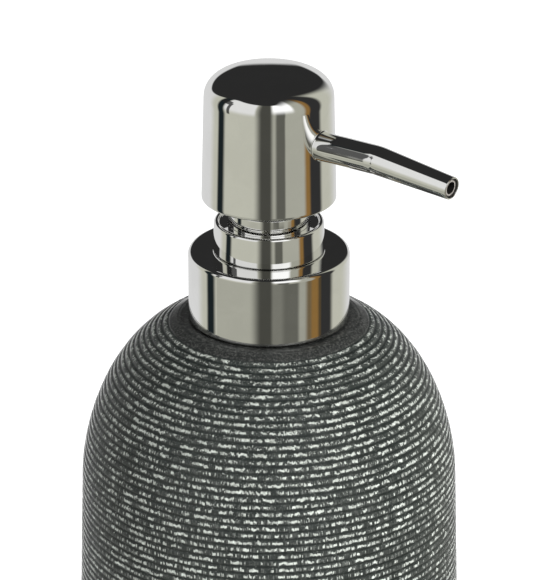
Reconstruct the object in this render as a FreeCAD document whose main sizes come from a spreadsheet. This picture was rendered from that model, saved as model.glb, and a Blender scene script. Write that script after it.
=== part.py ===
import FreeCAD, Part
import math
import os

import Sketcher

# Soap pump dispenser: a turned resin bottle with a chrome pump that screws on to its neck.
# Millimetres, +Z up, origin on the axis at the underside of the foot, spout towards +X.

os.makedirs("parts", exist_ok=True)
doc = FreeCAD.newDocument("SoapPump")
params = doc.addObject("Spreadsheet::Sheet", "Params")

DIMENSIONS = {
    # bottle
    "wall_radius": 37.8,
    "belly_radius": 38.95,
    "shoulder_height": 94.0,
    "shoulder_rise": 36.9,
    "shoulder_flow": 1.78,
    "shoulder_round": 2.92,
    "base_level": 1.0,
    "base_round": 3.0,
    "resin_thickness": 4.2,
    "floor_thickness": 6.0,
    "land_level": 128.45,
    "land_radius": 18.0,
    "ring_pitch": 1.45,
    "ring_depth": 0.2,
    "ring_crest": 0.62,
    "first_ring_radius": 20.7,
    "last_ring_level": 5.0,
    "mouth_radius": 13.75,
    "counterbore_radius": 15.2,
    "counterbore_depth": 1.4,
    # foot pad
    "pad_radius": 33.5,
    "pad_thickness": 1.6,
    # neck
    "neck_radius": 12.6,
    "neck_bore": 10.9,
    "neck_top": 138.1,
    "skirt_length": 6.0,
    "thread_pitch": 4.233,
    "thread_turns": 1.25,
    "neck_thread_radius": 13.8,
    # closure
    "collar_level": 128.75,
    "collar_height": 14.2,
    "collar_radius": 16.03,
    "collar_wall": 0.6,
    "collar_round": 0.9,
    "cap_radius": 15.35,
    "cap_bore": 14.1,
    "cap_plate": 1.5,
    "cap_thread_radius": 13.0,
    "closure_hole": 9.3,
    # pump body
    "flange_radius": 12.3,
    "flange_thickness": 1.42,
    "gasket_thickness": 1.16,
    "throat_radius": 7.6,
    "throat_wall": 1.3,
    "cylinder_bore": 6.8,
    "cylinder_wall": 1.2,
    "cylinder_floor": 105.75,
    "ball_bore": 2.8,
    "tube_radius": 3.0,
    "tube_bore": 2.0,
    "tube_end": 9.0,
    "guide_level": 143.2,
    "guide_radius": 10.85,
    "guide_height": 6.1,
    "guide_wall": 0.8,
    "guide_flange_radius": 11.3,
    "sleeve_radius": 8.1,
    "sleeve_top": 152.05,
    # plunger
    "stem_radius": 4.0,
    "stem_bore": 2.6,
    "stem_level": 130.2,
    "stem_top": 165.1,
    "running_gap": 0.07,
    "inlet_ball_radius": 2.5,
    "outlet_ball_radius": 2.2,
    "spring_level": 107.2,
    "spring_length": 21.4,
    "spring_radius": 4.85,
    "spring_wire": 0.9,
    # head
    "head_level": 154.1,
    "head_height": 26.0,
    "head_foot_radius": 13.3,
    "head_top_radius": 12.77,
    "head_round": 5.2,
    "head_bore": 11.65,
    "spout_level": 167.8,
    "spout_reach": 44.05,
    "spout_drop": 1.08,
    "bend_reach": 26.5,
    "bend_rise": 0.4,
    "spout_root_radius": 2.85,
    "spout_bend_radius": 2.87,
    "spout_tip_radius": 2.27,
    "liner_level": 168.03,
    "liner_radius": 1.55,
    "liner_bore": 1.25,
}
for row, (alias, size) in enumerate(DIMENSIONS.items(), start=1):
    params.set("A%d" % row, alias.replace("_", " "))
    params.set("B%d" % row, str(size))
    params.setAlias("B%d" % row, alias)
doc.recompute()

P = "Params."


def value(expression):
    """The number an expression over the sheet gives now."""
    if isinstance(expression, (int, float)):
        return float(expression)
    result = params.evalExpression(expression.replace(P, ""))
    return float(getattr(result, "Value", result))


def new_body(label, level=0):
    """An empty body whose own origin stands at a level on the common axis."""
    body = doc.addObject("PartDesign::Body", label)
    body.Label = label
    if level != 0:
        body.setExpression(".Placement.Base.z", level)
    return body


def new_sketch(body, name, role="XZ_Plane"):
    sketch = body.newObject("Sketcher::SketchObject", name)
    plane = [f for f in body.Origin.OriginFeatures if f.Role == role][0]
    sketch.AttachmentSupport = [(plane, "")]
    sketch.MapMode = "FlatFace"
    return sketch


def axis_of(body, role="Z_Axis"):
    return [f for f in body.Origin.OriginFeatures if f.Role == role][0]


def place(sketch, geometry, point, which, expression):
    """Binds one coordinate of a sketch point to an expression."""
    size = value(expression)
    if abs(size) < 1e-9 and isinstance(expression, (int, float)):
        line = -2 if which == "DistanceX" else -1
        sketch.addConstraint(Sketcher.Constraint("PointOnObject", geometry, point, line))
        return
    index = sketch.addConstraint(Sketcher.Constraint(which, -1, 1, geometry, point, size))
    if not isinstance(expression, (int, float)):
        sketch.setExpression("Constraints[%d]" % index, expression)


def outline(sketch, corners):
    """A closed outline of straight sides with every corner bound to the sheet."""
    spots = [FreeCAD.Vector(value(r), value(z), 0) for r, z in corners]
    count = len(spots)
    first = sketch.GeometryCount
    sides = [Part.LineSegment(spots[i], spots[(i + 1) % count]) for i in range(count)]
    sketch.addGeometry(sides, False)
    joins = []
    for i in range(count):
        joins.append(
            Sketcher.Constraint("Coincident", first + i, 2, first + (i + 1) % count, 1)
        )
    sketch.addConstraint(joins)
    for i, (r, z) in enumerate(corners):
        place(sketch, first + i, 1, "DistanceX", r)
        place(sketch, first + i, 1, "DistanceY", z)
    return first


def circle(sketch, x, y, radius):
    """A circle bound to the sheet."""
    middle = FreeCAD.Vector(value(x), value(y), 0)
    shape = Part.Circle(middle, FreeCAD.Vector(0, 0, 1), value(radius))
    index = sketch.addGeometry(shape, False)
    place(sketch, index, 3, "DistanceX", x)
    place(sketch, index, 3, "DistanceY", y)
    size = sketch.addConstraint(Sketcher.Constraint("Radius", index, value(radius)))
    if not isinstance(radius, (int, float)):
        sketch.setExpression("Constraints[%d]" % size, radius)
    return index


def turn(body, name, corners, cut=False):
    """Adds or removes a full turn of an outline about the body's axis."""
    sketch = new_sketch(body, name + "Sketch")
    outline(sketch, corners)
    kind = "PartDesign::Groove" if cut else "PartDesign::Revolution"
    feature = body.newObject(kind, name)
    feature.Profile = sketch
    feature.ReferenceAxis = (axis_of(body), [""])
    feature.Angle = 360.0
    sketch.Visibility = False
    doc.recompute()
    return feature


def ring_edges(feature, radius, height):
    """Names of the full circles of a feature at a radius and height."""
    names = []
    for number, edge in enumerate(feature.Shape.Edges, start=1):
        curve = edge.Curve
        if not isinstance(curve, Part.Circle):
            continue
        if abs(curve.Radius - radius) < 0.02 and abs(curve.Center.z - height) < 0.02:
            names.append("Edge%d" % number)
    return names


def round_rings(body, name, radius, height, size):
    """Rounds the circular edges at a radius and height."""
    base = body.Tip
    feature = body.newObject("PartDesign::Fillet", name)
    feature.Base = (base, ring_edges(base, value(radius), value(height)))
    if isinstance(size, (int, float)):
        feature.Radius = size
    else:
        feature.setExpression("Radius", size)
    doc.recompute()
    return feature


# ---- bottle ---------------------------------------------------------------------------------


def outer_radius(level):
    """Outer radius of the bottle: a slow belly below the shoulder, a full round above it."""
    wall = value("Params.wall_radius")
    belly = value("Params.belly_radius")
    start = value("Params.shoulder_height")
    if level > start:
        t = min(1.0, (level - start) / value("Params.shoulder_rise"))
        bulge = 1.0 - t ** value("Params.shoulder_flow")
        return wall * bulge ** (1.0 / value("Params.shoulder_round"))
    swell = math.sin(0.5 * math.pi * min(1.0, (start - level) / 60.0))
    tuck = max(0.0, (30.0 - level) / 30.0)
    return wall + (belly - wall) * swell - 0.8 * tuck * tuck


def skin_points(step=0.02):
    """Points down the outer skin from the edge of the land to the base, with their run."""
    level = value("Params.land_level") - 0.12
    bottom = value("Params.base_level") + value("Params.base_round")
    points = [(value("Params.land_radius"), level, 0.0)]
    while level > bottom:
        level -= step
        radius = outer_radius(level)
        if radius <= points[-1][0]:
            if level > value("Params.shoulder_height"):
                continue
        last = points[-1]
        run = last[2] + math.hypot(radius - last[0], level - last[1])
        points.append((radius, level, run))
    return points


def skin_at(points, run):
    """Position and outward normal on the skin at a run along it."""
    low, high = 0, len(points) - 1
    while high - low > 1:
        middle = (low + high) // 2
        if points[middle][2] < run:
            low = middle
        else:
            high = middle
    a, b = points[low], points[high]
    share = (run - a[2]) / max(1e-9, b[2] - a[2])
    radius = a[0] + share * (b[0] - a[0])
    level = a[1] + share * (b[1] - a[1])
    length = math.hypot(b[0] - a[0], b[1] - a[1])
    normal = (-(b[1] - a[1]) / length, (b[0] - a[0]) / length)
    return radius, level, normal


def ringed_skin():
    """Corners of the skin: flat crests a pitch apart with a shallow valley after each."""
    points = skin_points()
    pitch = value("Params.ring_pitch")
    depth = value("Params.ring_depth")
    crest = value("Params.ring_crest")
    first_run = [p[2] for p in points if p[0] >= value("Params.first_ring_radius")][0]
    last_run = [p[2] for p in points if p[1] >= value("Params.last_ring_level")][-1]
    corners = [(points[0][0], points[0][1])]
    for run in (0.3 * first_run, 0.62 * first_run):
        radius, level, _ = skin_at(points, run)
        corners.append((radius, level))
    rings = int((last_run - first_run) / pitch)
    for ring in range(rings + 1):
        middle = first_run + ring * pitch
        for offset, sink in ((-0.5 * pitch, depth), (-0.5 * crest, 0.0), (0.5 * crest, 0.0)):
            radius, level, normal = skin_at(points, middle + offset)
            corners.append((radius - sink * normal[0], level - sink * normal[1]))
    corners.append((points[-1][0], points[-1][1]))
    return corners


bottle = new_body("bottle_body")
skin = new_sketch(bottle, "SkinSketch")
base_level = value("Params.base_level")
base_round = value("Params.base_round")
ringed = ringed_skin()
foot_radius, foot_start = ringed[-1]
corners = [(0.0, value("Params.land_level")), (17.7, value("Params.land_level"))]
corners += ringed
for part in range(1, 6):
    angle = 0.5 * math.pi * part / 5
    corners.append(
        (
            foot_radius - base_round * (1 - math.cos(angle)),
            foot_start - base_round * math.sin(angle),
        )
    )
corners.append((0.0, base_level))
spots = [FreeCAD.Vector(r, z, 0) for r, z in corners]
sides = [Part.LineSegment(spots[i], spots[(i + 1) % len(spots)]) for i in range(len(spots))]
skin.addGeometry(sides, False)
skin.addConstraint([Sketcher.Constraint("Block", i) for i in range(len(sides))])
blank = bottle.newObject("PartDesign::Revolution", "Skin")
blank.Profile = skin
blank.ReferenceAxis = (axis_of(bottle), [""])
blank.Angle = 360.0
skin.Visibility = False
doc.recompute()

inner = P + "wall_radius - Params.resin_thickness"
turn(
    bottle,
    "Cavity",
    [
        (0, P + "base_level + Params.floor_thickness"),
        (inner + " - 2.5", P + "base_level + Params.floor_thickness"),
        (inner, P + "base_level + Params.floor_thickness + 3"),
        (inner + " + 0.9", P + "shoulder_height - 55"),
        (inner, P + "shoulder_height"),
        (inner + " - 1.7", P + "shoulder_height + 8"),
        (inner + " - 5", P + "shoulder_height + 15"),
        (inner + " - 10", P + "shoulder_height + 21.5"),
        (inner + " - 16", P + "shoulder_height + 26.5"),
        (P + "mouth_radius", P + "shoulder_height + 28.6"),
        (P + "mouth_radius", P + "land_level - Params.counterbore_depth"),
        (P + "counterbore_radius", P + "land_level - Params.counterbore_depth"),
        (P + "counterbore_radius", P + "land_level + 1"),
        (0, P + "land_level + 1"),
    ],
    cut=True,
)
turn(
    bottle,
    "PadRecess",
    [
        (0, 0),
        (P + "pad_radius + 0.4", 0),
        (P + "pad_radius + 0.4", P + "pad_thickness"),
        (0, P + "pad_thickness"),
    ],
    cut=True,
)

pad = new_body("foot_pad")
turn(
    pad,
    "Disc",
    [(0, 0), (P + "pad_radius", 0), (P + "pad_radius", P + "pad_thickness"), (0, P + "pad_thickness")],
)
round_rings(pad, "SoftEdge", P + "pad_radius", 0, 0.4)

# ---- neck and closure -------------------------------------------------------------------------


def thread(body, name, level, root, crest, turns):
    """Adds one helical thread ridge, from a root radius to a crest radius."""
    sketch = new_sketch(body, name + "Sketch")
    sink = "0.25"
    outwards = value(crest) > value(root)
    inside = root + (" - " if outwards else " + ") + sink
    outline(
        sketch,
        [
            (inside, level + " - 0.95"),
            (inside, level + " + 0.95"),
            (crest, level + " + 0.4"),
            (crest, level + " - 0.4"),
        ],
    )
    helix = body.newObject("PartDesign::AdditiveHelix", name)
    helix.Profile = sketch
    helix.ReferenceAxis = (axis_of(body), [""])
    helix.Mode = "pitch-turns-angle"
    helix.setExpression("Pitch", P + "thread_pitch")
    helix.Turns = turns
    helix.Angle = 0
    helix.LeftHanded = False
    helix.Reversed = False
    sketch.Visibility = False
    doc.recompute()
    return helix


NECK = P + "land_level - Params.counterbore_depth - Params.skirt_length"
SHELF = P + "skirt_length"
neck = new_body("neck_insert", NECK)
neck_rise = P + "neck_top - (" + NECK + ")"
turn(
    neck,
    "NeckTube",
    [
        (P + "neck_bore", 0),
        (P + "mouth_radius - 0.1", 0),
        (P + "mouth_radius - 0.1", SHELF + " + 0.05"),
        (P + "counterbore_radius - 0.1", SHELF + " + 0.05"),
        (P + "counterbore_radius - 0.1", SHELF + " + 1.3"),
        (P + "neck_radius", SHELF + " + 1.3"),
        (P + "neck_radius", neck_rise),
        (P + "neck_bore", neck_rise),
    ],
)
round_rings(neck, "LipRound", P + "neck_radius", neck_rise, 0.4)
thread(
    neck,
    "NeckThread",
    neck_rise + " - 1.45 - Params.thread_pitch * Params.thread_turns",
    P + "neck_radius",
    P + "neck_thread_radius",
    value(P + "thread_turns"),
)

CAP = P + "collar_level + 0.15"
cap = new_body("screw_cap", CAP)
cap_height = P + "collar_height - Params.collar_wall - 0.2"
turn(
    cap,
    "CapWall",
    [
        (P + "cap_bore", 0),
        (P + "cap_radius", 0),
        (P + "cap_radius", cap_height),
        (P + "closure_hole", cap_height),
        (P + "closure_hole", cap_height + " - Params.cap_plate"),
        (P + "cap_bore", cap_height + " - Params.cap_plate"),
    ],
)
# The cap's ridge runs half a pitch below the neck's, so the two never touch as the cap turns.
cap_ridge = "Params.neck_top - 1.45 - Params.thread_pitch * (Params.thread_turns + 0.36) - (" + CAP + ")"
thread(cap, "CapThread", cap_ridge, P + "cap_bore", P + "cap_thread_radius", 1.0)

collar = new_body("collar_shell", P + "collar_level")
turn(
    collar,
    "CollarWall",
    [
        (P + "collar_radius - Params.collar_wall", 0),
        (P + "collar_radius", 0),
        (P + "collar_radius", P + "collar_height"),
        (P + "closure_hole + 0.1", P + "collar_height"),
        (P + "closure_hole + 0.1", P + "collar_height - Params.collar_wall"),
        (P + "collar_radius - Params.collar_wall", P + "collar_height - Params.collar_wall"),
    ],
)
round_rings(collar, "RimRound", P + "collar_radius", P + "collar_height", P + "collar_round")
round_rings(collar, "SkirtRound", P + "collar_radius", 0, 0.25)
round_rings(collar, "HoleRound", P + "closure_hole + 0.1", P + "collar_height", 0.2)

# ---- pump body --------------------------------------------------------------------------------

gasket = new_body("neck_gasket", P + "neck_top + 0.02")
turn(
    gasket,
    "Washer",
    [
        (P + "throat_radius + Params.throat_wall + 0.3", 0),
        (P + "flange_radius", 0),
        (P + "flange_radius", P + "gasket_thickness"),
        (P + "throat_radius + Params.throat_wall + 0.3", P + "gasket_thickness"),
    ],
)

HOUSING = 84.5
housing = new_body("pump_housing", str(HOUSING))
flange_low = "Params.neck_top + Params.gasket_thickness + 0.04 - %s" % HOUSING
throat = P + "throat_radius + Params.throat_wall"
barrel = P + "cylinder_bore + Params.cylinder_wall"
floor_level = "Params.cylinder_floor - %s" % HOUSING
turn(
    housing,
    "HousingWall",
    [
        (P + "tube_radius + 0.03", 0),
        (P + "tube_radius + 1.5", 0),
        (P + "tube_radius + 1.6", floor_level + " - 4.2"),
        (barrel, floor_level + " - 0.8"),
        (barrel, flange_low + " - 7.3"),
        (throat, flange_low + " - 5.3"),
        (throat, flange_low),
        (P + "flange_radius", flange_low),
        (P + "flange_radius", flange_low + " + Params.flange_thickness"),
        (throat, flange_low + " + Params.flange_thickness"),
        (throat, "Params.guide_level - 0.1 - %s" % HOUSING),
        (P + "throat_radius", "Params.guide_level - 0.1 - %s" % HOUSING),
        (P + "throat_radius", "Params.stem_level + 6.7 - %s" % HOUSING),
        (P + "cylinder_bore", "Params.stem_level + 6.2 - %s" % HOUSING),
        (P + "cylinder_bore", floor_level),
        (P + "ball_bore", floor_level),
        (P + "ball_bore", floor_level + " - 5.85"),
        (P + "ball_bore - 1.3", floor_level + " - 7.15"),
        (P + "ball_bore - 1.3", floor_level + " - 8.75"),
        (P + "tube_radius + 0.03", floor_level + " - 8.75"),
    ],
)
# air bleed through the cylinder wall, covered by the piston at rest
bleed = new_sketch(housing, "BleedSketch", "YZ_Plane")
circle(bleed, 0, "Params.stem_level + 3.2 - %s" % HOUSING, 0.45)
vent = housing.newObject("PartDesign::Pocket", "Bleed")
vent.Profile = bleed
vent.Length = 12
vent.Reversed = True
bleed.Visibility = False
doc.recompute()

tube = new_body("dip_tube", P + "tube_end")
tube_rise = P + "cylinder_floor - 8.85 - Params.tube_end"
turn(
    tube,
    "TubeWall",
    [
        (P + "tube_bore", 0),
        (P + "tube_radius", 0),
        (P + "tube_radius", tube_rise),
        (P + "tube_bore", tube_rise),
    ],
)
slant = new_sketch(tube, "SlantSketch")
outline(
    slant,
    [
        (P + "tube_radius + 1 - 8", 0),
        (P + "tube_radius + 1", 0),
        (P + "tube_radius + 1", P + "tube_radius * 2 + 1"),
    ],
)
slant_cut = tube.newObject("PartDesign::Pocket", "SlantEnd")
slant_cut.Profile = slant
slant_cut.Length = 12
slant_cut.Midplane = True
slant.Visibility = False
doc.recompute()

CHAPLET = "Params.stem_level + 6.8"
chaplet = new_body("chaplet", CHAPLET)
disc = "Params.guide_level - (%s)" % CHAPLET
stem_guide = P + "stem_radius + Params.running_gap"
turn(
    chaplet,
    "Bush",
    [
        (stem_guide, 0.3),
        (stem_guide + " + 0.4", 0),
        (P + "throat_radius - 0.1", 0),
        (P + "throat_radius - 0.1", disc),
        (P + "guide_radius - Params.guide_wall - 0.05", disc),
        (P + "guide_radius - Params.guide_wall - 0.05", disc + " + Params.guide_height - 0.9"),
        (P + "sleeve_radius + 0.6", disc + " + Params.guide_height - 0.9"),
        (P + "sleeve_radius + 0.6", disc + " + 1.4"),
        (P + "sleeve_radius - 0.6", disc + " + 1.4"),
        (P + "sleeve_radius - 0.6", "Params.sleeve_top - 0.15 - (%s)" % CHAPLET),
        (P + "stem_radius + 1.9", "Params.sleeve_top - 0.15 - (%s)" % CHAPLET),
        (P + "stem_radius + 1.9", disc + " + 1.3"),
        (stem_guide + " + 0.3", disc + " + 1.3"),
        (stem_guide, disc + " + 1"),
    ],
)

guide = new_body("guide_tube", P + "guide_level + 0.02")
turn(
    guide,
    "GuideWall",
    [
        (P + "guide_radius - Params.guide_wall", 0),
        (P + "guide_flange_radius", 0),
        (P + "guide_flange_radius", 1.0),
        (P + "guide_radius", 1.0),
        (P + "guide_radius", P + "guide_height"),
        (P + "sleeve_radius + 0.05", P + "guide_height"),
        (P + "sleeve_radius + 0.05", P + "guide_height - Params.guide_wall"),
        (P + "guide_radius - Params.guide_wall", P + "guide_height - Params.guide_wall"),
    ],
)
round_rings(guide, "GuideRim", P + "guide_radius", P + "guide_height", 0.6)
round_rings(guide, "FlangeRim", P + "guide_flange_radius", 1.0, 0.4)
round_rings(guide, "FlangeFoot", P + "guide_flange_radius", 0, 0.25)

sleeve = new_body("guide_sleeve", P + "guide_level + 1.45")
sleeve_rise = P + "sleeve_top - Params.guide_level - 1.45"
turn(
    sleeve,
    "SleeveWall",
    [
        (P + "sleeve_radius - 0.55", 0),
        (P + "sleeve_radius", 0),
        (P + "sleeve_radius", sleeve_rise),
        (P + "sleeve_radius - 0.55", sleeve_rise),
    ],
)
round_rings(sleeve, "SleeveRim", P + "sleeve_radius", sleeve_rise, 0.25)

cage = new_body("ball_cage", P + "cylinder_floor - 1.05")
turn(
    cage,
    "CageDisc",
    [
        (0, 0),
        (1.9, 0),
        (1.9, 1.1),
        (P + "cylinder_bore - 0.08", 1.1),
        (P + "cylinder_bore - 0.08", 2.35),
        (P + "spring_radius - 0.75", 2.35),
        (P + "spring_radius - 0.75", 4.2),
        (0, 4.2),
    ],
)
slot = new_sketch(cage, "SlotSketch", "XY_Plane")
circle(slot, 2.75, 0, 0.8)
slot_cut = cage.newObject("PartDesign::Pocket", "Slot")
slot_cut.Profile = slot
slot_cut.Length = 6
slot_cut.Reversed = True
slot.Visibility = False
doc.recompute()
slots = cage.newObject("PartDesign::PolarPattern", "Slots")
slots.Originals = [slot_cut]
slots.Axis = (axis_of(cage), [""])
slots.Angle = 360
slots.Occurrences = 5
cage.Tip = slots
doc.recompute()


def ball(label, level, radius):
    body = new_body(label, level)
    sketch = new_sketch(body, "BallSketch")
    size = value(radius)
    arc = Part.ArcOfCircle(
        Part.Circle(FreeCAD.Vector(0, 0, 0), FreeCAD.Vector(0, 0, 1), size),
        -0.5 * math.pi,
        0.5 * math.pi,
    )
    sketch.addGeometry(arc, False)
    ends = (FreeCAD.Vector(0, size, 0), FreeCAD.Vector(0, -size, 0))
    sketch.addGeometry(Part.LineSegment(*ends), False)
    sketch.addConstraint(
        [
            Sketcher.Constraint("Coincident", 0, 3, -1, 1),
            Sketcher.Constraint("Coincident", 0, 2, 1, 1),
            Sketcher.Constraint("Coincident", 1, 2, 0, 1),
            Sketcher.Constraint("PointOnObject", 0, 2, -2),
            Sketcher.Constraint("PointOnObject", 0, 1, -2),
        ]
    )
    index = sketch.addConstraint(Sketcher.Constraint("Radius", 0, size))
    sketch.setExpression("Constraints[%d]" % index, radius)
    feature = body.newObject("PartDesign::Revolution", "Ball")
    feature.Profile = sketch
    feature.ReferenceAxis = (axis_of(body), [""])
    feature.Angle = 360.0
    sketch.Visibility = False
    doc.recompute()
    return body


# each ball's centre stands where it rests on its 45 degree seat, plus a hair of clearance
inlet = ball(
    "inlet_ball",
    "Params.cylinder_floor - 7.15 - (Params.ball_bore - 1.3)"
    " + Params.inlet_ball_radius * sqrt(2) + 0.03",
    P + "inlet_ball_radius",
)

# ---- plunger ----------------------------------------------------------------------------------

SEAT = "Params.stem_top - 6.1"
stem = new_body("stem", P + "stem_level")
seat = SEAT + " - Params.stem_level"
stem_rise = "Params.stem_top - Params.stem_level"
turn(
    stem,
    "StemWall",
    [
        (P + "stem_bore", 0),
        (P + "stem_radius", 0),
        (P + "stem_radius", stem_rise),
        (P + "stem_bore", stem_rise),
        (P + "stem_bore", seat + " + Params.stem_bore - 1.2"),
        (1.2, seat),
        (1.2, seat + " - 1.4"),
        (P + "stem_bore", seat + " - 1.4 - (Params.stem_bore - 1.2)"),
    ],
)
outlet = ball(
    "outlet_ball",
    SEAT + " - 1.2 + Params.outlet_ball_radius * sqrt(2) + 0.03",
    P + "outlet_ball_radius",
)

foot = new_body("stem_foot", P + "stem_level - 4")
turn(
    foot,
    "FootPlug",
    [
        (1.4, 0),
        (P + "spring_radius - 1.05", 0),
        (P + "spring_radius - 0.75", 0.4),
        (P + "spring_radius - 0.75", 2.5),
        (P + "cylinder_bore - 1", 2.5),
        (P + "cylinder_bore - 1", 3.9),
        (P + "stem_bore - 0.05", 3.9),
        (P + "stem_bore - 0.05", 7.6),
        (P + "stem_bore - 0.35", 7.9),
        (1.4, 7.9),
    ],
)

cup = new_body("piston_cup", P + "stem_level + 0.1")
turn(
    cup,
    "CupSeal",
    [
        (P + "stem_radius + 0.06", 0),
        (P + "cylinder_bore - 0.6", 0),
        (P + "cylinder_bore - 0.06", 0.3),
        (P + "cylinder_bore - 0.06", 0.9),
        (P + "cylinder_bore - 0.7", 2.2),
        (P + "cylinder_bore - 0.7", 4.2),
        (P + "cylinder_bore - 0.06", 5.4),
        (P + "cylinder_bore - 0.06", 5.9),
        (P + "cylinder_bore - 0.5", 5.9),
        (P + "cylinder_bore - 1.4", 4.6),
        (P + "stem_radius + 0.8", 4.6),
        (P + "stem_radius + 0.06", 5.4),
    ],
)

# The spring has a closed coil at each end and open coils between.
spring = new_body("return_spring", P + "spring_level + Params.spring_wire / 2")
closed_pitch = value(P + "spring_wire") * 1.06
open_turns = 6
open_span = "(Params.spring_length - Params.spring_wire * 3.12)"
coils = (
    ("LowerEnd", "0", "Params.spring_wire * 1.06", 1),
    ("OpenCoils", "Params.spring_wire * 1.06", open_span + " / %d" % open_turns, open_turns),
    ("UpperEnd", "Params.spring_wire * 1.06 + " + open_span, "Params.spring_wire * 1.06", 1),
)
for name, start, pitch, turns in coils:
    wire = new_sketch(spring, name + "Sketch")
    circle(wire, P + "spring_radius", 0 if start == "0" else start, P + "spring_wire / 2")
    coil = spring.newObject("PartDesign::AdditiveHelix", name)
    coil.Profile = wire
    coil.ReferenceAxis = (axis_of(spring), [""])
    coil.Mode = "pitch-turns-angle"
    coil.setExpression("Pitch", pitch)
    coil.Turns = turns
    coil.Angle = 0
    wire.Visibility = False
    doc.recompute()

# ---- head -------------------------------------------------------------------------------------

HEAD = P + "head_level"
shell = new_body("head_shell", HEAD)
turn(
    shell,
    "HeadBlank",
    [
        (0, 0),
        (P + "head_foot_radius", 0),
        (P + "head_top_radius + 0.1", P + "head_height - Params.head_round"),
        (P + "head_top_radius", P + "head_height"),
        (0, P + "head_height"),
    ],
)
round_rings(shell, "Crown", P + "head_top_radius", P + "head_height", P + "head_round")
round_rings(shell, "FootRound", P + "head_foot_radius", 0, 0.4)
spout_z = P + "spout_level - Params.head_level"


def station(body, name, reach, level, half_width, half_height, lean=0.0):
    """An oval section across the spout at a reach along +X."""
    sketch = new_sketch(body, name, "YZ_Plane")
    sketch.setExpression(".AttachmentOffset.Base.z", reach)
    sketch.setExpression(".AttachmentOffset.Base.y", level)
    turned = FreeCAD.Rotation(FreeCAD.Vector(1, 0, 0), lean)
    sketch.AttachmentOffset = FreeCAD.Placement(sketch.AttachmentOffset.Base, turned)
    tall, wide = value(half_height), value(half_width)
    if abs(tall - wide) < 1e-6:
        circle(sketch, 0, 0, half_width)
        return sketch
    oval = Part.Ellipse(FreeCAD.Vector(0, tall, 0), FreeCAD.Vector(wide, 0, 0), FreeCAD.Vector(0, 0, 0))
    index = sketch.addGeometry(oval, False)
    sketch.addConstraint(Sketcher.Constraint("Block", index))
    return sketch


def loft(body, name, sections, ruled, cut=False):
    kind = "PartDesign::SubtractiveLoft" if cut else "PartDesign::AdditiveLoft"
    feature = body.newObject(kind, name)
    feature.Profile = sections[0]
    feature.Sections = sections[1:]
    feature.Ruled = ruled
    for section in sections:
        section.Visibility = False
    doc.recompute()
    return feature


slope = math.degrees(
    math.atan2(value(P + "spout_drop + Params.bend_rise"), value(P + "spout_reach - Params.bend_reach"))
)
loft(
    shell,
    "Spout",
    [
        station(shell, "SpoutRoot", "9.5", spout_z, P + "spout_root_radius", P + "spout_root_radius"),
        station(
            shell,
            "SpoutBend",
            P + "bend_reach",
            spout_z + " + Params.bend_rise",
            P + "spout_bend_radius",
            P + "spout_bend_radius",
            0.5 * slope,
        ),
        station(
            shell,
            "SpoutTip",
            P + "spout_reach",
            spout_z + " - Params.spout_drop",
            P + "spout_tip_radius",
            P + "spout_tip_radius",
            slope,
        ),
    ],
    ruled=True,
)
# a small flare where the root meets the head
loft(
    shell,
    "Flare",
    [
        station(shell, "FlareWall", "11.4", spout_z + " + 0.15", "4.6", "4.7"),
        station(shell, "FlareMid", "12.7", spout_z + " + 0.15", "3.75", "4.0"),
        station(shell, "FlareNeck", "13.8", spout_z + " + 0.12", "3.12", "3.25"),
        station(shell, "FlareEnd", "15.8", spout_z + " + 0.13", "2.8", "2.82"),
    ],
    ruled=False,
)
turn(
    shell,
    "HeadBore",
    [
        (0, 0),
        (P + "head_bore", 0),
        (P + "head_bore", P + "head_height - 5.2"),
        (P + "head_bore - 3.4", P + "head_height - 1.6"),
        (0, P + "head_height - 1.5"),
    ],
    cut=True,
)


def bent_path(body, name, start, level):
    """The channel's line: level to the bend, then down towards the tip."""
    sketch = new_sketch(body, name)
    xs = (value(start), value(P + "bend_reach"), value(P + "spout_reach + 1"))
    drop = value(P + "liner_level - Params.spout_level + Params.spout_drop")
    share = (xs[2] - xs[1]) / (value(P + "spout_reach") - xs[1])
    top = value(level)
    spots = (
        FreeCAD.Vector(xs[0], top, 0),
        FreeCAD.Vector(xs[1], top, 0),
        FreeCAD.Vector(xs[2], top - drop * share, 0),
    )
    sketch.addGeometry([Part.LineSegment(spots[0], spots[1]), Part.LineSegment(spots[1], spots[2])])
    sketch.addConstraint(Sketcher.Constraint("Coincident", 0, 2, 1, 1))
    sketch.addConstraint([Sketcher.Constraint("Block", 0), Sketcher.Constraint("Block", 1)])
    return sketch, spots


def follow(body, name, start, level, radius, cut=False):
    """Adds or removes a round bar along the channel."""
    path, _ = bent_path(body, name + "Path", start, level)
    section = new_sketch(body, name + "Section", "YZ_Plane")
    section.setExpression(".AttachmentOffset.Base.z", start)
    circle(section, 0, level, radius)
    kind = "PartDesign::SubtractivePipe" if cut else "PartDesign::AdditivePipe"
    feature = body.newObject(kind, name)
    feature.Profile = section
    feature.Spine = (path, ["Edge1", "Edge2"])
    feature.Transition = "Round corner"
    path.Visibility = False
    section.Visibility = False
    doc.recompute()
    return feature


follow(shell, "SpoutBore", "10.5", P + "liner_level - Params.head_level", P + "liner_radius + 0.05", cut=True)

LINER = P + "liner_level"
liner = new_body("spout_liner", LINER + " - 10")
follow(liner, "LinerBar", "3.1", "10", P + "liner_radius")
follow(liner, "LinerBore", "3", "10", P + "liner_bore - 0.05", cut=True)
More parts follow.
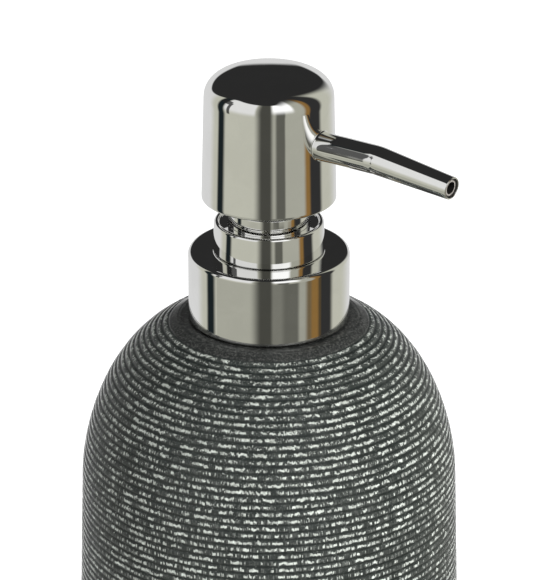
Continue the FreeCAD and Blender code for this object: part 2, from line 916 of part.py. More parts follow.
# the straight outlet bore, drilled back from the tip along the lower leg
outlet = new_sketch(liner, "OutletSketch", "YZ_Plane")
leg_fall = (
    "(Params.liner_level - Params.spout_level + Params.spout_drop)"
    " / (Params.spout_reach - Params.bend_reach)"
)
outlet.AttachmentOffset = FreeCAD.Placement(
    FreeCAD.Vector(0, 0, 0), FreeCAD.Rotation(FreeCAD.Vector(1, 0, 0), 1.0)
)
leg_run = P + "spout_reach + 1 - " + P + "bend_reach"
outlet.setExpression(".AttachmentOffset.Base.z", P + "spout_reach + 1")
outlet.setExpression(".AttachmentOffset.Base.y", "10 - (" + leg_run + ") * " + leg_fall)
outlet.setExpression(".AttachmentOffset.Rotation.Angle", "atan(" + leg_fall + ")")
circle(outlet, 0, 0, P + "liner_bore")
drill = liner.newObject("PartDesign::Pocket", "OutletBore")
drill.Profile = outlet
drill.setExpression("Length", P + "spout_reach - " + P + "bend_reach + 1.1")
outlet.Visibility = False
doc.recompute()
trim = new_sketch(liner, "TrimSketch")
outline(trim, [(P + "spout_reach - 0.35", 2), (P + "spout_reach + 3", 2), (P + "spout_reach + 3", 14), (P + "spout_reach - 0.35", 14)])
trim_cut = liner.newObject("PartDesign::Pocket", "LinerEnd")
trim_cut.Profile = trim
trim_cut.Length = 12
trim_cut.Midplane = True
trim.Visibility = False
doc.recompute()

CORE = P + "stem_top - 9.3"
core = new_body("head_core", CORE)
socket = P + "stem_top + 0.05 - (" + CORE + ")"
channel = P + "liner_level - (" + CORE + ")"
roof = "Params.head_level + Params.head_height - 3.2 - (" + CORE + ")"
turn(
    core,
    "CoreBlank",
    [
        (0, 0),
        (P + "stem_radius + 1.6", 0),
        (P + "stem_radius + 1.6", channel + " + 3.2"),
        (P + "head_bore - 0.08", channel + " + 3.2"),
        (P + "head_bore - 0.08", channel + " + 4.7"),
        (P + "stem_radius + 2.4", channel + " + 4.7"),
        (P + "stem_radius + 2.4", roof),
        (0, roof),
    ],
)
arm = new_sketch(core, "ArmSketch", "YZ_Plane")
circle(arm, 0, channel, 2.4)
arm_pad = core.newObject("PartDesign::Pad", "LinerArm")
arm_pad.Profile = arm
arm_pad.Length = 10.9
arm.Visibility = False
doc.recompute()
turn(
    core,
    "StemSocket",
    [
        (0, 0),
        (P + "stem_radius + 0.02", 0),
        (P + "stem_radius + 0.02", socket),
        (P + "stem_bore", socket),
        (P + "stem_bore", channel + " + 1.4"),
        (0.9, channel + " + 1.4"),
        (0.9, socket + " - 0.7"),
        (0, socket + " - 0.7"),
    ],
    cut=True,
)
run = new_sketch(core, "RunSketch", "YZ_Plane")
circle(run, 0, channel, P + "liner_radius + 0.04")
run.AttachmentOffset = FreeCAD.Placement(FreeCAD.Vector(0, 0, 1.5), FreeCAD.Rotation())
run_cut = core.newObject("PartDesign::Pocket", "LinerRun")
run_cut.Profile = run
run_cut.Length = 14
run_cut.Reversed = True
run.Visibility = False
doc.recompute()

# ---- checks and export --------------------------------------------------------------------------

NODES = (
    "bottle_body",
    "neck_insert",
    "foot_pad",
    "collar_shell",
    "screw_cap",
    "neck_gasket",
    "pump_housing",
    "chaplet",
    "guide_tube",
    "guide_sleeve",
    "ball_cage",
    "dip_tube",
    "inlet_ball",
    "return_spring",
    "piston_cup",
    "stem",
    "stem_foot",
    "outlet_ball",
    "head_core",
    "head_shell",
    "spout_liner",
)
doc.recompute()
for thing in doc.Objects:
    if "Invalid" in thing.State or "Error" in thing.State:
        raise RuntimeError("%s did not build: %s" % (thing.Name, thing.State))
for node in NODES:
    body = doc.getObjectsByLabel(node)[0]
    shape = body.Shape
    if shape.isNull() or not shape.isValid() or not shape.Solids:
        raise RuntimeError("%s has no valid solid" % node)
    print("%-14s solids %d volume %.1f" % (node, len(shape.Solids), shape.Volume))
    shape.exportStep("parts/%s.step" % node)
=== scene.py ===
import math

import bpy
import numpy as np
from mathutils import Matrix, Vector


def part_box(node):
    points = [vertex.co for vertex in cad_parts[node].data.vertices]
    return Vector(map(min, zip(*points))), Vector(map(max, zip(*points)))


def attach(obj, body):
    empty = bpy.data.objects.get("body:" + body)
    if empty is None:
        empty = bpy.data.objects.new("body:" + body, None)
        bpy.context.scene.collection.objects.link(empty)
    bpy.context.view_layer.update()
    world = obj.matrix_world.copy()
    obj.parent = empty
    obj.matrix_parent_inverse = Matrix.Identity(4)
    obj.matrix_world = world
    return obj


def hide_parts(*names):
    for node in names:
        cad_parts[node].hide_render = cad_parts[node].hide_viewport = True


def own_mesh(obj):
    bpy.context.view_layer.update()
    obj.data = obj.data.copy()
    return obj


# Looks of the soap pump dispenser. Lengths in the tables below are millimetres; meshes are metres.

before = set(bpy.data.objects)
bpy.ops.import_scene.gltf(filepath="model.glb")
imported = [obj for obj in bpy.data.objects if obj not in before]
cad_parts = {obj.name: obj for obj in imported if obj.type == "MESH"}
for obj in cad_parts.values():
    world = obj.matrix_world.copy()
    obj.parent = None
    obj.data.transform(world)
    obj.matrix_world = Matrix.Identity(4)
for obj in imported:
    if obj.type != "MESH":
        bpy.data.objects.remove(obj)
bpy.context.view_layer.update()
MM = 0.001
VIEW_AZIMUTH = 38.0
VIEW_ELEVATION = 23.5


# ---- small helpers ----------------------------------------------------------------------------


def level(node):
    """Lowest and highest level of a CAD node, in millimetres."""
    low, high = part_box(node)
    return low.z / MM, high.z / MM


def finish_piece(name, verts, faces, body, nodes, material, uvs=None):
    """Makes a smooth mesh piece that stands for CAD nodes and rides on their body."""
    mesh = bpy.data.meshes.new(name)
    mesh.from_pydata([tuple(v) for v in np.asarray(verts) * MM], [], faces)
    mesh.polygons.foreach_set("use_smooth", [True] * len(mesh.polygons))
    mesh.update()
    if uvs is not None:
        layer = mesh.uv_layers.new(name="Rings")
        index = np.zeros(len(mesh.loops), np.int32)
        mesh.loops.foreach_get("vertex_index", index)
        flat = np.asarray(uvs, np.float32)[index]
        layer.data.foreach_set("uv", flat.ravel())
    mesh.materials.append(material)
    piece = bpy.data.objects.new(name, mesh)
    bpy.context.scene.collection.objects.link(piece)
    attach(piece, body)
    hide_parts(*nodes)
    return piece


def rounded(corners, chord=0.06):
    """A closed outline of (radius, level, rounding) corners with true arcs at the rounded ones."""
    points = []
    count = len(corners)
    for i in range(count):
        r, z, size = corners[i]
        here = np.array([r, z], float)
        if size <= 0:
            points.append(here)
            continue
        before = np.array(corners[i - 1][:2], float) - here
        after = np.array(corners[(i + 1) % count][:2], float) - here
        before /= np.linalg.norm(before)
        after /= np.linalg.norm(after)
        half = 0.5 * math.acos(np.clip(before @ after, -1, 1))
        reach = size / math.tan(half)
        middle = here + (before + after) / np.linalg.norm(before + after) * size / math.sin(half)
        start = here + before * reach - middle
        end = here + after * reach - middle
        sweep = math.pi - 2 * half
        steps = max(3, int(sweep * size / chord))
        turn = math.copysign(1, start[0] * end[1] - start[1] * end[0])
        for k in range(steps + 1):
            a = turn * sweep * k / steps
            c, s = math.cos(a), math.sin(a)
            points.append(middle + np.array([c * start[0] - s * start[1], s * start[0] + c * start[1]]))
    return points


def spread(points, step):
    """Adds points on the long sides of an outline, so that smooth shading stays true."""
    out = []
    count = len(points)
    for i in range(count):
        a, b = points[i], points[(i + 1) % count]
        out.append(a)
        length = float(np.linalg.norm(b - a))
        if length > 3 * step:
            for t in (step / length, 0.5, 1 - step / length):
                out.append(a + (b - a) * t)
    return out


def lathe(name, outline, body, nodes, material, around=192, step=0.1):
    """Turns a closed outline about the axis. Outline points on the axis become one vertex."""
    outline = spread([np.asarray(p, float) for p in outline], step)
    angles = np.arange(around) * 2 * math.pi / around
    verts, rows = [], []
    for r, z in outline:
        if r < 1e-6:
            rows.append([len(verts)])
            verts.append((0.0, 0.0, z))
            continue
        rows.append(list(range(len(verts), len(verts) + around)))
        verts += [(r * math.cos(a), r * math.sin(a), z) for a in angles]
    faces = []
    for i in range(len(rows)):
        a, b = rows[i], rows[(i + 1) % len(rows)]
        if len(a) == 1 and len(b) == 1:
            continue
        for k in range(around):
            n = (k + 1) % around
            if len(a) == 1:
                faces.append((a[0], b[n], b[k]))
            elif len(b) == 1:
                faces.append((a[k], a[n], b[0]))
            else:
                faces.append((a[k], a[n], b[n], b[k]))
    return finish_piece(name, verts, faces, body, nodes, material)


# ---- materials --------------------------------------------------------------------------------


class Nodes:
    """Short calls for building one node tree."""

    def __init__(self, tree):
        self.tree = tree

    def add(self, kind, **values):
        node = self.tree.nodes.new(kind)
        for key, value in values.items():
            setattr(node, key, value)
        return node

    def put(self, socket, value):
        if hasattr(value, "is_output"):
            self.tree.links.new(value, socket)
        else:
            socket.default_value = value

    def math(self, operation, a, b=0.0, c=0.0, clamp=False):
        node = self.add("ShaderNodeMath", operation=operation, use_clamp=clamp)
        for socket, value in zip(node.inputs, (a, b, c)):
            self.put(socket, value)
        return node.outputs[0]

    def dot(self, a, b):
        node = self.add("ShaderNodeVectorMath", operation="DOT_PRODUCT")
        self.put(node.inputs[0], a)
        self.put(node.inputs[1], b)
        return node.outputs["Value"]

    def step(self, value, low, high):
        """0 below low, 1 above high, smooth between."""
        node = self.add("ShaderNodeMapRange", interpolation_type="SMOOTHSTEP")
        self.put(node.inputs["Value"], value)
        self.put(node.inputs["From Min"], low)
        self.put(node.inputs["From Max"], high)
        return node.outputs["Result"]

    def span(self, value, low, high, soft):
        """1 between low and high, with soft edges."""
        rise = self.step(value, low - soft, low + soft)
        fall = self.step(value, high - soft, high + soft)
        return self.math("SUBTRACT", rise, fall, clamp=True)

    def noise(self, vector, scale, detail=2.0, rough=0.5, warp=0.0):
        node = self.add("ShaderNodeTexNoise")
        self.put(node.inputs["Vector"], vector)
        node.inputs["Scale"].default_value = scale
        node.inputs["Detail"].default_value = detail
        node.inputs["Roughness"].default_value = rough
        node.inputs["Distortion"].default_value = warp
        return node.outputs["Fac"]

    def mix(self, factor, a, b):
        node = self.add("ShaderNodeMix", data_type="RGBA")
        self.put(node.inputs[0], factor)
        self.put(node.inputs[6], a)
        self.put(node.inputs[7], b)
        return node.outputs[2]

    def ramp(self, value, stops):
        node = self.add("ShaderNodeValToRGB")
        self.put(node.inputs[0], value)
        bar = node.color_ramp
        while len(bar.elements) > 1:
            bar.elements.remove(bar.elements[-1])
        bar.elements[0].position, bar.elements[0].color = stops[0][0], rgb(stops[0][1])
        for spot, colour in stops[1:]:
            bar.elements.new(spot).color = rgb(colour)
        return node.outputs[0]

    def bump(self, height, distance, strength=1.0):
        node = self.add("ShaderNodeBump")
        self.put(node.inputs["Height"], height)
        node.inputs["Distance"].default_value = distance
        node.inputs["Strength"].default_value = strength
        return node.outputs["Normal"]


def rgb(colour):
    if isinstance(colour, (int, float)):
        colour = (colour, colour, colour)
    return (*colour[:3], 1.0)


def material(name):
    made = bpy.data.materials.new(name)
    made.use_nodes = True
    nodes = Nodes(made.node_tree)
    shader = made.node_tree.nodes["Principled BSDF"]
    place = nodes.add("ShaderNodeTexCoord").outputs["Object"]
    scaled = nodes.add("ShaderNodeVectorMath", operation="SCALE")
    nodes.put(scaled.inputs[0], place)
    scaled.inputs["Scale"].default_value = 1000.0
    return made, nodes, shader, scaled.outputs[0]


def chrome_material():
    """Bright plate: very smooth, with faint handling marks that only show in the gloss."""
    made, n, shader, mm = material("chrome_plate")
    shader.inputs["Metallic"].default_value = 1.0
    smear = n.noise(mm, 0.16, 4.0, 0.62, 0.6)
    tone = n.mix(n.step(smear, 0.35, 0.7), rgb((0.885, 0.885, 0.875)), rgb((0.925, 0.925, 0.915)))
    n.put(shader.inputs["Base Color"], tone)
    rough = n.math("MULTIPLY_ADD", n.step(smear, 0.4, 0.75), 0.02, 0.022)
    n.put(shader.inputs["Roughness"], rough)
    ripple = n.noise(mm, 0.22, 1.0, 0.5)
    n.put(shader.inputs["Normal"], n.bump(ripple, 0.000012, 0.6))
    return made


def resin_material(pitch):
    """Charcoal cast resin; the ring crests carry pale paint that is broken into strokes."""
    made, n, shader, mm = material("ringed_resin")
    uv = n.add("ShaderNodeUVMap", uv_map="Rings").outputs[0]
    split = n.add("ShaderNodeSeparateXYZ")
    n.put(split.inputs[0], uv)
    run = split.outputs["Y"]
    ring = n.math("FLOOR", n.math("ADD", run, 0.5))
    across = n.math("MULTIPLY", n.math("SUBTRACT", run, ring), pitch)
    flat = n.add("ShaderNodeSeparateXYZ")
    n.put(flat.inputs[0], mm)
    strand = n.add("ShaderNodeCombineXYZ")
    n.put(strand.inputs[0], flat.outputs["X"])
    n.put(strand.inputs[1], flat.outputs["Y"])
    n.put(strand.inputs[2], n.math("MULTIPLY", ring, 17.31))
    strand = strand.outputs[0]
    # where a stroke of paint lies along its ring
    long = n.noise(strand, 0.5, 1.0, 0.5)
    short = n.noise(strand, 1.9, 2.5, 0.62)
    presence = n.math("ADD", n.math("MULTIPLY", long, 0.4), n.math("MULTIPLY", short, 0.6))
    drift = n.noise(mm, 0.05, 1.0)
    limit = n.math("MULTIPLY_ADD", drift, -0.12, 0.545)
    there = n.step(presence, limit, n.math("ADD", limit, 0.05))
    # how it wanders and frays across the ring
    wander = n.noise(strand, 1.3, 2.0, 0.6)
    shift = n.math("MULTIPLY", n.math("SUBTRACT", wander, 0.5), 1.1)
    ragged = n.noise(mm, 3.2, 2.0, 0.65)
    off = n.math("ABSOLUTE", n.math("ADD", across, shift))
    off = n.math("ADD", off, n.math("MULTIPLY", n.math("SUBTRACT", ragged, 0.5), 0.6))
    width = n.math("MULTIPLY_ADD", n.noise(strand, 0.9, 1.0), 0.34, 0.02)
    stroke = n.math("SUBTRACT", 1.0, n.step(off, width, n.math("ADD", width, 0.16)), clamp=True)
    paint = n.math("MULTIPLY", there, stroke)
    # thin scumble of paint beside the strokes, and loose specks
    scumble = n.step(n.noise(strand, 2.6, 3.0, 0.7), 0.5, 0.75)
    crest = n.math("SUBTRACT", 1.0, n.step(n.math("ABSOLUTE", across), 0.3, 0.62), clamp=True)
    paint = n.math("MAXIMUM", paint, n.math("MULTIPLY", n.math("MULTIPLY", scumble, crest), 0.4))
    specks = n.step(n.noise(mm, 2.3, 3.0, 0.65), 0.62, 0.70)
    paint = n.math("MAXIMUM", paint, n.math("MULTIPLY", specks, 0.3))
    paint = n.math("MULTIPLY", paint, n.step(run, -0.6, -0.35))
    # the resin: mottled, with painted shade that makes it darkest in the grooves
    grime = n.noise(mm, 0.7, 5.0, 0.72)
    stone = n.ramp(
        grime,
        [(0.28, (0.010, 0.013, 0.012)), (0.5, (0.022, 0.027, 0.025)), (0.72, (0.062, 0.068, 0.062))],
    )
    ringed = n.step(run, -0.6, -0.35)
    speckle = n.ramp(
        n.noise(mm, 2.2, 4.0, 0.75),
        [(0.36, (0.008, 0.009, 0.009)), (0.5, (0.024, 0.026, 0.025)), (0.64, (0.105, 0.107, 0.10))],
    )
    stone = n.mix(ringed, speckle, stone)
    # painted shade: the grooves between the rings are mixed towards near black
    groove_shade = n.math("MULTIPLY", n.step(n.math("ABSOLUTE", across), 0.38, 0.66), ringed)
    stone = n.mix(n.math("MULTIPLY", groove_shade, 0.6), stone, rgb((0.006, 0.009, 0.009)))
    chalk = n.ramp(
        n.noise(mm, 1.1, 3.0, 0.65),
        [(0.3, (0.20, 0.21, 0.19)), (0.5, (0.44, 0.47, 0.43)), (0.68, (0.62, 0.66, 0.61))],
    )
    n.put(shader.inputs["Base Color"], n.mix(paint, stone, chalk))
    n.put(shader.inputs["Roughness"], n.math("MULTIPLY_ADD", paint, 0.2, 0.45))
    height = n.math("ADD", n.math("MULTIPLY", paint, 0.8), n.math("MULTIPLY", grime, 0.5))
    n.put(shader.inputs["Normal"], n.bump(height, 0.00018, 0.7))
    facing = n.add("ShaderNodeLayerWeight")
    facing.inputs["Blend"].default_value = 0.5
    n.put(shader.inputs["Coat Weight"], n.step(facing.outputs["Facing"], 0.74, 0.84))
    shader.inputs["Coat Roughness"].default_value = 0.12
    shader.inputs["Coat IOR"].default_value = 1.75
    return made


def plastic_material(name, colour, rough, deep=0.0, pass_light=0.0):
    """Moulded plastic: faint flow marks in tone and gloss, fine tool grain."""
    made, n, shader, mm = material(name)
    flow = n.noise(mm, 0.12, 4.0, 0.6, 0.8)
    dull = tuple(c * 0.86 for c in colour)
    n.put(shader.inputs["Base Color"], n.mix(n.step(flow, 0.35, 0.7), rgb(dull), rgb(colour)))
    n.put(shader.inputs["Roughness"], n.math("MULTIPLY_ADD", flow, 0.12, rough))
    n.put(shader.inputs["Normal"], n.bump(n.noise(mm, 3.0, 3.0, 0.6), 0.00003, 0.5))
    shader.inputs["Subsurface Weight"].default_value = deep
    shader.inputs["Subsurface Radius"].default_value = (0.002, 0.002, 0.002)
    shader.inputs["Transmission Weight"].default_value = pass_light
    shader.inputs["IOR"].default_value = 1.49
    return made


def foam_material():
    """Closed-cell foam: dark, matt, with small burst cells, painted darker in their hollows as shade."""
    made, n, shader, mm = material("foam_pad")
    cells = n.add("ShaderNodeTexVoronoi", feature="F1")
    n.put(cells.inputs["Vector"], mm)
    cells.inputs["Scale"].default_value = 1.6
    depth = cells.outputs["Distance"]
    # painted shade: darkest in the middle of each cell, where the bump is deepest
    n.put(shader.inputs["Base Color"], n.ramp(depth, [(0.0, 0.018), (0.35, 0.045), (0.8, 0.075)]))
    shader.inputs["Roughness"].default_value = 0.92
    n.put(shader.inputs["Normal"], n.bump(depth, 0.0002, 0.8))
    return made


def steel_material():
    """Drawn spring wire: fine lengthwise marks."""
    made, n, shader, mm = material("spring_steel")
    shader.inputs["Metallic"].default_value = 1.0
    marks = n.noise(mm, 2.4, 4.0, 0.7, 1.5)
    n.put(shader.inputs["Base Color"], n.mix(marks, rgb(0.42), rgb(0.62)))
    n.put(shader.inputs["Roughness"], n.math("MULTIPLY_ADD", marks, 0.25, 0.16))
    n.put(shader.inputs["Normal"], n.bump(marks, 0.00002, 0.6))
    return made


def glass_material():
    """Polished glass ball with the faintest swirl."""
    made, n, shader, mm = material("valve_glass")
    swirl = n.noise(mm, 0.8, 2.0, 0.5, 1.2)
    n.put(shader.inputs["Base Color"], n.mix(swirl, rgb((0.80, 0.86, 0.85)), rgb((0.90, 0.94, 0.93))))
    n.put(shader.inputs["Roughness"], n.math("MULTIPLY", swirl, 0.05))
    shader.inputs["IOR"].default_value = 1.52
    shader.inputs["Transmission Weight"].default_value = 0.9
    return made


PITCH = 1.45
chrome = chrome_material()
resin = resin_material(PITCH)
white = plastic_material("white_plastic", (0.82, 0.82, 0.79), 0.3, deep=0.15)
natural = plastic_material("natural_plastic", (0.80, 0.83, 0.83), 0.25, pass_light=0.45)
seal = plastic_material("seal_rubber", (0.55, 0.57, 0.58), 0.5)
# the liner: natural plastic painted dark as the shade inside the spout
liner_shade_paint = plastic_material("liner_plastic_painted_shade", (0.26, 0.24, 0.22), 0.3)
# painted shade: a near-black finish for the inside of the spout's bore
bore_shade_paint = plastic_material("bore_painted_shade", (0.012, 0.011, 0.010), 0.4)
foam = foam_material()
steel = steel_material()
glass = glass_material()

CARRIED = {
    "neck_insert": white,
    "screw_cap": white,
    "neck_gasket": seal,
    "pump_housing": natural,
    "chaplet": white,
    "ball_cage": white,
    "dip_tube": natural,
    "inlet_ball": glass,
    "outlet_ball": glass,
    "piston_cup": seal,
    "stem": white,
    "stem_foot": white,
    "head_core": white,
}
for node, finish in CARRIED.items():
    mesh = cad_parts[node].data
    mesh.materials.clear()
    mesh.materials.append(finish)

# ---- bottle -----------------------------------------------------------------------------------

LAND = 128.45
LAND_RADIUS = 18.0
SHOULDER = 94.0
RING_DEPTH = 0.2
FIRST_RING_RADIUS = 20.7
LAST_RING_LEVEL = 5.0
BASE, BASE_ROUND = 1.0, 3.0


def outer_radius(z):
    """The bottle's skin: a slow belly below the shoulder, a full round above it."""
    if z > SHOULDER:
        t = min(1.0, (z - SHOULDER) / 36.9)
        return 37.8 * (1.0 - t**1.78) ** (1.0 / 2.92)
    swell = math.sin(0.5 * math.pi * min(1.0, (SHOULDER - z) / 60.0))
    tuck = max(0.0, (30.0 - z) / 30.0)
    return 37.8 + 1.15 * swell - 0.8 * tuck * tuck


def skin_line():
    """Radius, level and run of points down the skin."""
    z = LAND - 0.12
    points = [(LAND_RADIUS, z, 0.0)]
    while z > BASE + BASE_ROUND:
        z -= 0.02
        r = outer_radius(z)
        if r <= points[-1][0] and z > SHOULDER:
            continue
        last = points[-1]
        points.append((r, z, last[2] + math.hypot(r - last[0], z - last[1])))
    return np.array(points)


def wrapped_noise(rng, rows, around, cells):
    """Smooth random values, one row of them per ring, that meet again after a full turn."""
    knots = rng.uniform(-1, 1, (rows, cells))
    at = np.arange(around) * cells / around
    low = at.astype(int)
    t = at - low
    t = t * t * (3 - 2 * t)
    return knots[:, low] * (1 - t) + knots[:, (low + 1) % cells] * t


def build_bottle(around=480, samples=7):
    skin = skin_line()
    first = skin[np.argmax(skin[:, 0] >= FIRST_RING_RADIUS), 2]
    last = skin[skin[:, 1] >= LAST_RING_LEVEL][-1, 2]
    rings = int((last - first) / PITCH)
    rng = np.random.default_rng(11)
    lift = wrapped_noise(rng, rings + 1, around, 170) * 0.6 + wrapped_noise(rng, rings + 1, around, 60) * 0.4
    sway = wrapped_noise(rng, rings + 1, around, 90)
    angles = np.arange(around) * 2 * math.pi / around
    rows, uv = [], []

    def skin_row(run, sink):
        r = np.interp(run, skin[:, 2], skin[:, 0])
        z = np.interp(run, skin[:, 2], skin[:, 1])
        ahead = (np.interp(run + 0.05, skin[:, 2], skin[:, 0]), np.interp(run + 0.05, skin[:, 2], skin[:, 1]))
        back = (np.interp(run - 0.05, skin[:, 2], skin[:, 0]), np.interp(run - 0.05, skin[:, 2], skin[:, 1]))
        tr, tz = ahead[0] - back[0], ahead[1] - back[1]
        length = np.hypot(tr, tz) + 1e-12
        return r + sink * tz / length, z - sink * tr / length

    def add(r, z, v):
        rows.append(np.stack([r * np.cos(angles), r * np.sin(angles), np.broadcast_to(z, r.shape)], 1))
        uv.append(np.stack([angles / (2 * math.pi), np.full(around, v)], 1))

    full = np.ones(around)
    for run in np.linspace(0, first - 0.5 * PITCH, 14)[:-1]:
        r, z = skin_row(run * full, 0.02 * full)
        add(r, z, (run - first) / PITCH)
    for ring in range(rings + 1):
        for k in range(samples):
            part = k / samples - 0.5
            rise = 1 - np.clip((abs(part) - 0.19) / 0.25, 0, 1)
            rise = rise * rise * (3 - 2 * rise)
            crest = 1 + 0.32 * lift[ring]
            sink = RING_DEPTH * (1 - rise * crest)
            run = first + (ring + part) * PITCH + 0.07 * rise * sway[ring]
            r, z = skin_row(run * full, np.clip(sink, 0.0, RING_DEPTH) * full)
            add(r, z, ring + part)
    end = first + (rings + 0.5) * PITCH
    for run in np.linspace(end, skin[-1, 2], 5):
        r, z = skin_row(run * full, 0.03 * full)
        add(r, z, rings + 0.5 + (run - end) / PITCH)
    tail = rings + 2.5
    foot_radius, foot_level = skin[-1, 0], skin[-1, 1]
    for k in range(1, 13):
        a = 0.5 * math.pi * k / 12
        r = foot_radius - BASE_ROUND * (1 - math.cos(a))
        add(r * full, (foot_level - BASE_ROUND * math.sin(a)) * full, tail)
    inside = [
        (33.95, 1.0), (33.9, 1.05), (33.9, 1.6), (33.85, 1.6), (0.0, 1.6), (0.0, 7.0), (30.9, 7.0),
        (31.6, 7.3), (33.3, 9.0), (33.6, 10.0), (34.5, 39.0), (34.1, 70.0), (33.6, 94.0), (31.9, 102.0),
        (28.6, 109.0), (23.6, 115.5), (17.6, 120.5), (13.9, 122.5), (13.75, 122.6), (13.75, 127.0),
        (13.8, 127.05), (15.15, 127.05), (15.2, 127.1), (15.2, 128.4), (15.25, 128.45), (17.3, 128.45),
        (17.6, 128.44), (17.85, 128.40),
    ]
    for r, z in inside:
        if r == 0.0:
            rows.append(np.array([[0.0, 0.0, z]]))
            uv.append(np.array([[0.0, tail]]))
        else:
            v = -4.0 if z > 120 else tail
            add(r * full, z * full, v)
    verts = np.concatenate(rows)
    starts = np.cumsum([0] + [len(r) for r in rows])
    faces = []
    for i in range(len(rows)):
        j = (i + 1) % len(rows)
        a, b, la, lb = starts[i], starts[j], len(rows[i]), len(rows[j])
        if la == 1 and lb == 1:
            continue
        for k in range(around):
            n = (k + 1) % around
            if la == 1:
                faces.append((a, b + k, b + n))
            elif lb == 1:
                faces.append((a + n, a + k, b))
            else:
                faces.append((a + n, a + k, b + k, b + n))
    return finish_piece(
        "bottle_ringed", verts, faces, "bottle", ["bottle_body"], resin, uvs=np.concatenate(uv)
    )


build_bottle()

pad_low, pad_high = level("foot_pad")
lathe(
    "foot_disc",
    rounded([(0, pad_low, 0), (33.5, pad_low, 0.4), (33.5, pad_high, 0.15), (0, pad_high, 0)]),
    "bottle",
    ["foot_pad"],
    foam,
)

# ---- collar, guide and sleeve -----------------------------------------------------------------

low, high = level("collar_shell")
lathe(
    "collar_chrome",
    rounded(
        [
            (15.43, low, 0.12),
            (16.03, low, 0.25),
            (16.03, high, 0.9),
            (9.4, high, 0.2),
            (9.4, high - 0.6, 0.1),
            (15.43, high - 0.6, 0.3),
        ]
    ),
    "closure",
    ["collar_shell"],
    chrome,
    around=256,
)
low, high = level("guide_tube")
lathe(
    "guide_chrome",
    rounded(
        [
            (10.05, low - 0.2, 0.1),
            (11.14, low - 0.2, 0.35),
            (10.85, high, 0.6),
            (10.0, high, 0.25),
            (9.85, high - 0.6, 0.15),
            (8.15, high - 0.6, 0.02),
            (8.15, high - 0.8, 0.05),
            (10.05, high - 0.8, 0.2),
        ]
    ),
    "pump_body",
    ["guide_tube"],
    chrome,
    around=256,
)
low, high = level("guide_sleeve")
lathe(
    "sleeve_chrome",
    rounded([(7.55, low, 0.05), (8.1, low, 0.1), (8.1, high, 0.25), (7.55, high, 0.2)]),
    "pump_body",
    ["guide_sleeve"],
    chrome,
    around=224,
)

# ---- spring -----------------------------------------------------------------------------------


def build_spring():
    """Closed coil, six open coils, closed coil."""
    wire, middle, turns = 0.45, 4.85, 8.0
    closed = 0.954
    low, high = level("return_spring")
    start, rise = low + wire + 0.4, 21.4 - 0.9 * 3.12
    path = []
    for k in range(int(turns * 64) + 1):
        t = k / 64
        up = closed * min(t, 1) + rise * min(max(t - 1, 0), 6) / 6 + closed * min(max(t - 7, 0), 1)
        path.append(
            (middle * math.cos(2 * math.pi * t), middle * math.sin(2 * math.pi * t), start + up)
        )
    path = np.array(path)
    path[:, 2] += 107.2 + wire - path[0, 2]
    ahead = np.gradient(path, axis=0)
    ahead /= np.linalg.norm(ahead, axis=1)[:, None]
    out = path * (1, 1, 0)
    out /= np.linalg.norm(out, axis=1)[:, None]
    side = np.cross(ahead, out)
    sides = 16
    verts, faces = [], []
    for p, o, s in zip(path, out, side):
        for k in range(sides):
            a = 2 * math.pi * k / sides
            verts.append(p + wire * (math.cos(a) * o + math.sin(a) * s))
    for i in range(len(path) - 1):
        for k in range(sides):
            n = (k + 1) % sides
            faces.append((i * sides + k, i * sides + n, (i + 1) * sides + n, (i + 1) * sides + k))
    faces.append(tuple(range(sides - 1, -1, -1)))
    faces.append(tuple(range((len(path) - 1) * sides, len(path) * sides)))
    piece = finish_piece(
        "spring_coil", verts, faces, "pump_body", ["return_spring"], steel
    )
    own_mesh(piece)


build_spring()

# ---- head with its spout ----------------------------------------------------------------------

HEAD_LOW = level("head_shell")[0]
HEAD_TOP = level("head_shell")[1] - HEAD_LOW
SPOUT = 167.8 - HEAD_LOW
BEND, TIP, RISE, DROP = 26.5, 44.05, 0.4, 1.08
ROOT_RADIUS, BEND_RADIUS, TIP_RADIUS = 2.85, 2.87, 2.27
LINER = 168.03


def head_outline():
    """Outer line of the head, (radius, level), from its foot over a slowly rounded crown to the top."""
    foot, top, inward, down, full, dome = 13.3, 12.77, 6.0, 4.25, 2.4, 70.0
    crest = HEAD_TOP + 0.4
    start = crest - down
    lean = (foot - top) / start
    points = []
    for k in range(9):
        a = -0.5 * math.pi + (0.5 * math.pi + math.atan(lean)) * k / 8
        points.append((foot - 0.4 + 0.4 * math.cos(a), 0.4 + 0.4 * math.sin(a)))
    shoulder = start - top**2 / (2 * dome)
    first = points[-1]
    for k in range(1, 49):
        t = k / 48
        points.append((first[0] + (top - first[0]) * t, first[1] + (shoulder - first[1]) * t))
    for k in range(1, 61):
        a = 0.5 * math.pi * (k / 60) ** 1.15
        rise = down * math.sin(a) ** (2 / full)
        r = top - inward + inward * max(0.0, math.cos(a)) ** (2 / full) - lean * rise
        points.append((r, start + rise - r * r / (2 * dome)))
    flat = points[-1][0]
    for k in range(1, 13):
        r = flat * (1 - k / 12)
        points.append((r, crest - r * r / (2 * dome)))
    return np.array(points)


def spout_section(x):
    """Centre level and radius of the spout at a reach along +X."""
    if x < BEND:
        t = (x - 9.5) / (BEND - 9.5)
        return SPOUT + RISE * t, ROOT_RADIUS + (BEND_RADIUS - ROOT_RADIUS) * t
    t = (x - BEND) / (TIP - BEND)
    return SPOUT + RISE - (DROP + RISE) * t, BEND_RADIUS + (TIP_RADIUS - BEND_RADIUS) * t


def liner_level(x):
    """Level of the channel's centre line: straight and flat to the bend, then down to the tip."""
    fall = (LINER - 167.8 + DROP) * max(0.0, x - BEND) / (TIP - BEND)
    return LINER - fall


